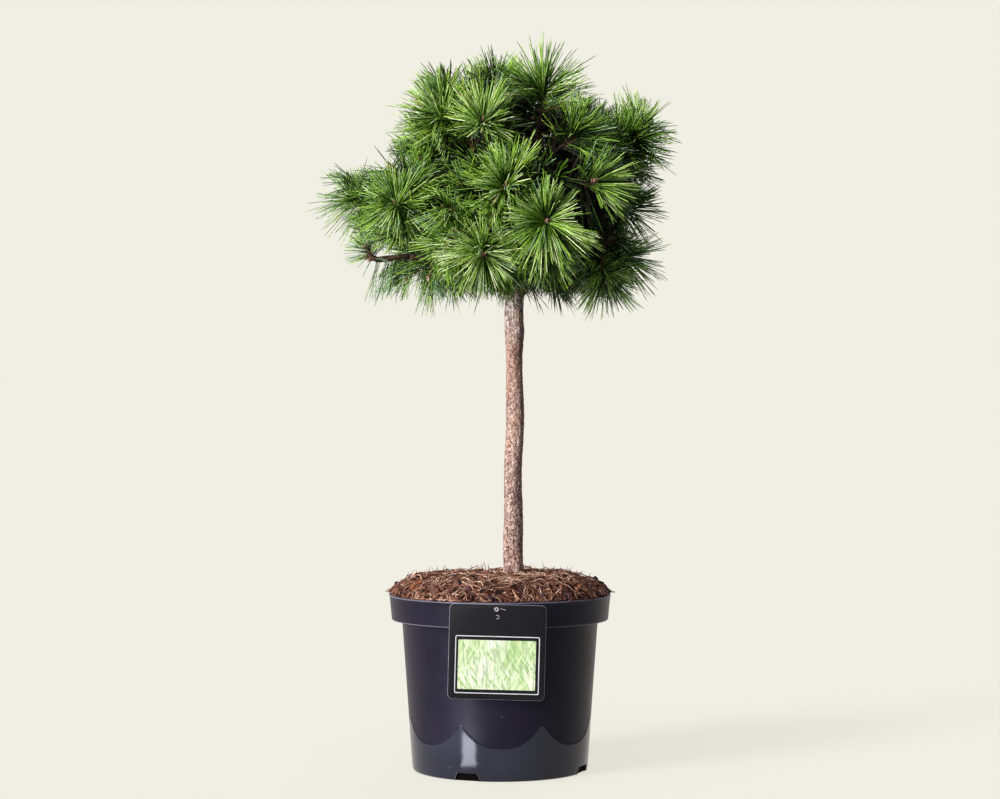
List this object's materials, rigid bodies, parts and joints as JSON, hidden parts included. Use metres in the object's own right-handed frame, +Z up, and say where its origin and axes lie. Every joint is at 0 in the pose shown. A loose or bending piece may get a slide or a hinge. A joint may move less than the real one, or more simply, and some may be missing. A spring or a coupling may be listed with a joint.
{
  "type": "potted grafted red pine",
  "caption": "Dwarf red pine grafted on a bare stem, with a rounded mop of long-needled tufts, in a black round nursery pot with a hanging label.",
  "frame": {"origin": "centre of the pot's flat underside", "axes": "+Z up along the stem, -Y towards the label and the viewer of the picture, +X to that viewer's right"},
  "size_m": [0.4524, 0.4377, 0.9202],
  "materials": {
    "pot_plastic": "satin",
    "growing_mix": "matte",
    "label_card": "satin",
    "label_pin": "satin",
    "bark": "matte",
    "needles": "matte"
  },
  "bodies": {
    "root": {"pot": "pot_plastic", "growing_medium": "growing_mix", "plant_label": "label_card", "label_pin": "label_pin", "trunk": "bark", "bough_top": "bark", "bough_upper_left": "bark", "bough_front": "bark", "bough_left": "bark", "bough_right": "bark", "bough_right_low": "bark", "bough_right_low_front": "bark", "bough_left_low": "bark", "bough_back": "bark", "bough_back_left": "bark", "bough_back_right": "bark", "branch_front_middle": "bark", "branch_front_low_left": "bark", "branch_front_upper": "bark", "branch_top_left": "bark", "branch_upper_right_front": "bark", "branch_back_top": "bark", "branch_right_front": "bark", "branch_right_top_back": "bark", "branch_right": "bark", "branch_left_front": "bark", "branch_low_left_front": "bark", "branch_back_low": "bark", "branch_back_left": "bark", "branch_back_right": "bark", "foliage_front_low_right": "needles", "foliage_front_low_left": "needles", "foliage_front_middle": "needles", "foliage_front_upper": "needles", "foliage_upper_left": "needles", "foliage_top_left": "needles", "foliage_top": "needles", "foliage_upper_right_front": "needles", "foliage_upper_right": "needles", "foliage_right_top_back": "needles", "foliage_right_front": "needles", "foliage_right": "needles", "foliage_right_low": "needles", "foliage_right_low_front": "needles", "foliage_left_front": "needles", "foliage_far_left": "needles", "foliage_left_low": "needles", "foliage_low_left_front": "needles", "foliage_back_low": "needles", "foliage_back_right_low": "needles", "foliage_back_left_low": "needles", "foliage_back_right": "needles", "foliage_back_left": "needles", "foliage_back_middle": "needles", "foliage_back_top": "needles"}
  },
  "joints": []
}
